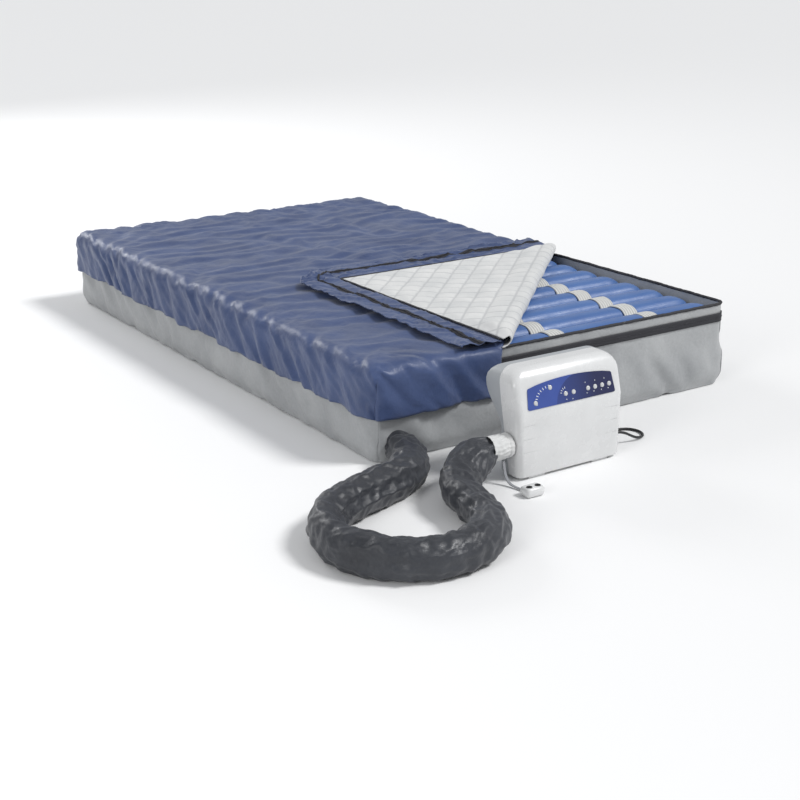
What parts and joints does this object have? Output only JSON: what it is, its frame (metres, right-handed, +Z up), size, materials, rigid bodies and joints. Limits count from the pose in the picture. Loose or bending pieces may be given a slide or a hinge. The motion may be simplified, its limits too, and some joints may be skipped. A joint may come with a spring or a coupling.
{
  "type": "pressure relief mattress",
  "caption": "Alternating air mattress with transverse cells, a zipped cover whose foot corner is folded back, a sleeved air hose, and a bedside pump with push buttons and swing-out hooks.",
  "frame": {"origin": "centre of the mattress's underside, on the surface that everything stands on", "axes": "+Y towards the head of the mattress, +Z up, X across the bed"},
  "size_m": [1.6231, 2.6748, 0.274],
  "materials": {
    "navy_cloth": "semi-sheen coated nylon",
    "silver_cloth": "silver-grey coated nylon",
    "cell_blue": "satin laminated film",
    "strap_white": "woven tape",
    "lining_white": "quilted lining",
    "air_line": "clear flexible tube",
    "case_white": "glossy moulded",
    "case_grey": "fine-textured moulded",
    "panel_blue": "printed overlay film",
    "button_silver": "pearl domed",
    "board_green": "circuit board",
    "black_plastic": "black moulded",
    "dark_metal": "dark painted",
    "hose_grey": "wrinkled nylon sleeve",
    "webbing_grey": "woven webbing"
  },
  "bodies": {
    "mattress_and_pump": {"air_cell_01": "cell_blue", "air_cell_02": "cell_blue", "air_cell_03": "cell_blue", "air_cell_04": "cell_blue", "air_cell_05": "cell_blue", "air_cell_06": "cell_blue", "air_cell_07": "cell_blue", "air_cell_08": "cell_blue", "air_cell_09": "cell_blue", "air_cell_10": "cell_blue", "air_cell_11": "cell_blue", "air_cell_12": "cell_blue", "air_cell_13": "cell_blue", "air_cell_14": "cell_blue", "air_cell_15": "cell_blue", "air_cell_16": "cell_blue", "air_cell_17": "cell_blue", "air_cell_18": "cell_blue", "air_cell_19": "cell_blue", "air_cell_20": "cell_blue", "cell_strap_1": "strap_white", "cell_strap_2": "strap_white", "cell_strap_3": "strap_white", "air_manifold_a": "air_line", "air_manifold_b": "air_line", "base_cover": "silver_cloth", "top_cover": "navy_cloth", "pump_front_case": "case_white", "pump_rear_case": "case_grey", "control_panel": "panel_blue", "pump_foot_left": "case_white", "pump_foot_right": "case_white", "compressor": "dark_metal", "air_distributor": "button_silver", "control_board": "board_green", "filter_cover": "case_grey", "air_connector": "case_white", "air_hose": "hose_grey", "dust_cap": "case_white", "cap_tether": "webbing_grey", "strain_relief": "black_plastic", "mains_cord": "black_plastic", "cord_coil": "black_plastic", "mains_plug": "black_plastic"},
    "corner_flap_body": {"corner_flap": "lining_white"},
    "foot_skirt_body": {"flap_foot_skirt": "navy_cloth"},
    "side_skirt_body": {"flap_side_skirt": "navy_cloth"},
    "zip_slider_body": {"zip_slider": "dark_metal"},
    "switch_body": {"power_switch": "black_plastic"},
    "hook_left_body": {"bed_hook_left": "case_grey"},
    "hook_right_body": {"bed_hook_right": "case_grey"},
    "button_pressure_down_body": {"button_pressure_down": "button_silver"},
    "button_pressure_up_body": {"button_pressure_up": "button_silver"},
    "button_cycle_time_body": {"button_cycle_time": "button_silver"},
    "button_mode_body": {"button_mode": "button_silver"},
    "button_alarm_mute_body": {"button_alarm_mute": "button_silver"},
    "button_static_body": {"button_static": "button_silver"},
    "button_lock_body": {"button_lock": "button_silver"},
    "button_power_body": {"button_power": "button_silver"}
  },
  "joints": [
    {"name": "corner_fold", "type": "hinge", "parent": "mattress_and_pump", "child": "corner_flap_body", "pos_m": [-0.2204, -1.016, 0.258], "axis": [0.7071, 0.7071, 0], "range_deg": [0, 180]},
    {"name": "foot_skirt_fold", "type": "hinge", "parent": "corner_flap_body", "child": "foot_skirt_body", "pos_m": [-0.2204, -0.6, 0.262], "axis": [0, 1, 0], "range_deg": [0, 90]},
    {"name": "side_skirt_fold", "type": "hinge", "parent": "corner_flap_body", "child": "side_skirt_body", "pos_m": [0.2, -0.186, 0.262], "axis": [1, 0, 0], "range_deg": [0, 90]},
    {"name": "zip_slide", "type": "slide", "parent": "mattress_and_pump", "child": "zip_slider_body", "axis": [0, -1, 0], "range_m": [0, 0.755]},
    {"name": "power_rocker", "type": "hinge", "parent": "mattress_and_pump", "child": "switch_body", "pos_m": [-0.052, -1.193, 0.191], "axis": [0, 1, 0], "range_deg": [0, 12]},
    {"name": "hook_left_swing", "type": "hinge", "parent": "mattress_and_pump", "child": "hook_left_body", "pos_m": [-0.3145, -1.189, 0.156], "axis": [1, 0, 0], "range_deg": [0, 90]},
    {"name": "hook_right_swing", "type": "hinge", "parent": "mattress_and_pump", "child": "hook_right_body", "pos_m": [-0.1145, -1.189, 0.156], "axis": [1, 0, 0], "range_deg": [0, 90]},
    {"name": "press_pressure_down", "type": "slide", "parent": "mattress_and_pump", "child": "button_pressure_down_body", "axis": [0, 0.9659, -0.2588], "range_m": [0, 0.0012], "stiffness_N_per_m": 300},
    {"name": "press_pressure_up", "type": "slide", "parent": "mattress_and_pump", "child": "button_pressure_up_body", "axis": [0, 0.9659, -0.2588], "range_m": [0, 0.0012], "stiffness_N_per_m": 300},
    {"name": "press_cycle_time", "type": "slide", "parent": "mattress_and_pump", "child": "button_cycle_time_body", "axis": [0, 0.9659, -0.2588], "range_m": [0, 0.0012], "stiffness_N_per_m": 300},
    {"name": "press_mode", "type": "slide", "parent": "mattress_and_pump", "child": "button_mode_body", "axis": [0, 0.9659, -0.2588], "range_m": [0, 0.0012], "stiffness_N_per_m": 300},
    {"name": "press_alarm_mute", "type": "slide", "parent": "mattress_and_pump", "child": "button_alarm_mute_body", "axis": [0, 0.9659, -0.2588], "range_m": [0, 0.0012], "stiffness_N_per_m": 300},
    {"name": "press_static", "type": "slide", "parent": "mattress_and_pump", "child": "button_static_body", "axis": [0, 0.9659, -0.2588], "range_m": [0, 0.0012], "stiffness_N_per_m": 300},
    {"name": "press_lock", "type": "slide", "parent": "mattress_and_pump", "child": "button_lock_body", "axis": [0, 0.9659, -0.2588], "range_m": [0, 0.0012], "stiffness_N_per_m": 300},
    {"name": "press_power", "type": "slide", "parent": "mattress_and_pump", "child": "button_power_body", "axis": [0, 0.9659, -0.2588], "range_m": [0, 0.0012], "stiffness_N_per_m": 300}
  ],
  "couplings": [
    {"joint": "foot_skirt_fold", "follows": "corner_fold", "ratio": 0.5},
    {"joint": "side_skirt_fold", "follows": "corner_fold", "ratio": 0.5}
  ]
}
